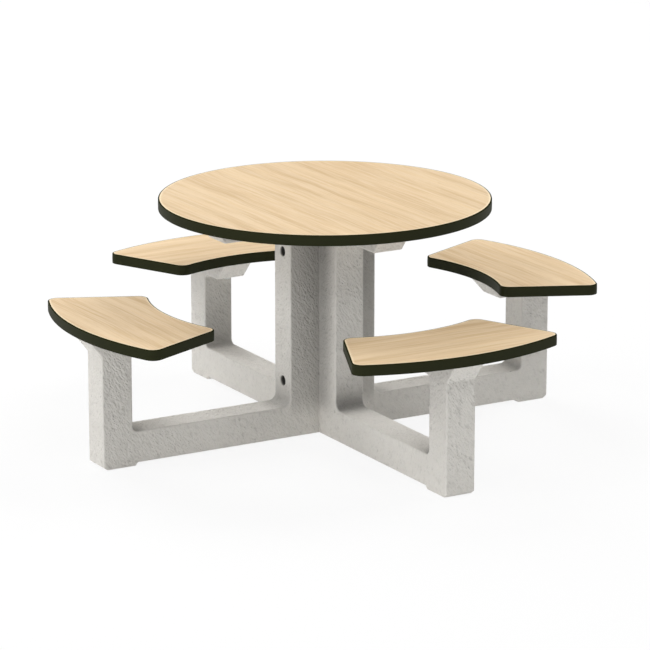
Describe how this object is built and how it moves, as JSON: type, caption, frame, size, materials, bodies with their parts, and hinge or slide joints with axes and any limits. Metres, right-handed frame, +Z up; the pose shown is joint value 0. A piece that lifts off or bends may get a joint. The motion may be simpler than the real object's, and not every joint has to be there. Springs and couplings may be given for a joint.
{
  "type": "table with attached seats",
  "caption": "Free-standing round laminate table on a cross of cast concrete frames, whose arms carry fixed ring-sector seats on flared posts.",
  "frame": {"origin": "on the floor under the centre of the table", "axes": "+Z up through the table's centre; the main frame runs along Y and the side frames along -X and +X"},
  "size_m": [1.75, 1.75, 0.762],
  "materials": {
    "concrete": "sandblasted cast concrete, light warm grey",
    "laminate": "board faced with satin woodgrain laminate, pale oak",
    "edge_band": "dark olive vinyl, satin",
    "plated_steel": "zinc plated"
  },
  "bodies": {
    "root": {"main_frame": "concrete", "seat_back_edge_band": "edge_band", "seat_back_panel": "laminate", "seat_back_screw": "plated_steel", "seat_front_edge_band": "edge_band", "seat_front_panel": "laminate", "seat_front_screw": "plated_steel", "seat_left_edge_band": "edge_band", "seat_left_panel": "laminate", "seat_left_screw": "plated_steel", "seat_right_edge_band": "edge_band", "seat_right_panel": "laminate", "seat_right_screw": "plated_steel", "side_frame_left": "concrete", "side_frame_right": "concrete", "table_edge_band": "edge_band", "table_panel": "laminate", "table_screws": "plated_steel", "tie_bolt_lower": "plated_steel", "tie_bolt_upper": "plated_steel", "tie_nuts": "plated_steel"}
  },
  "joints": []
}
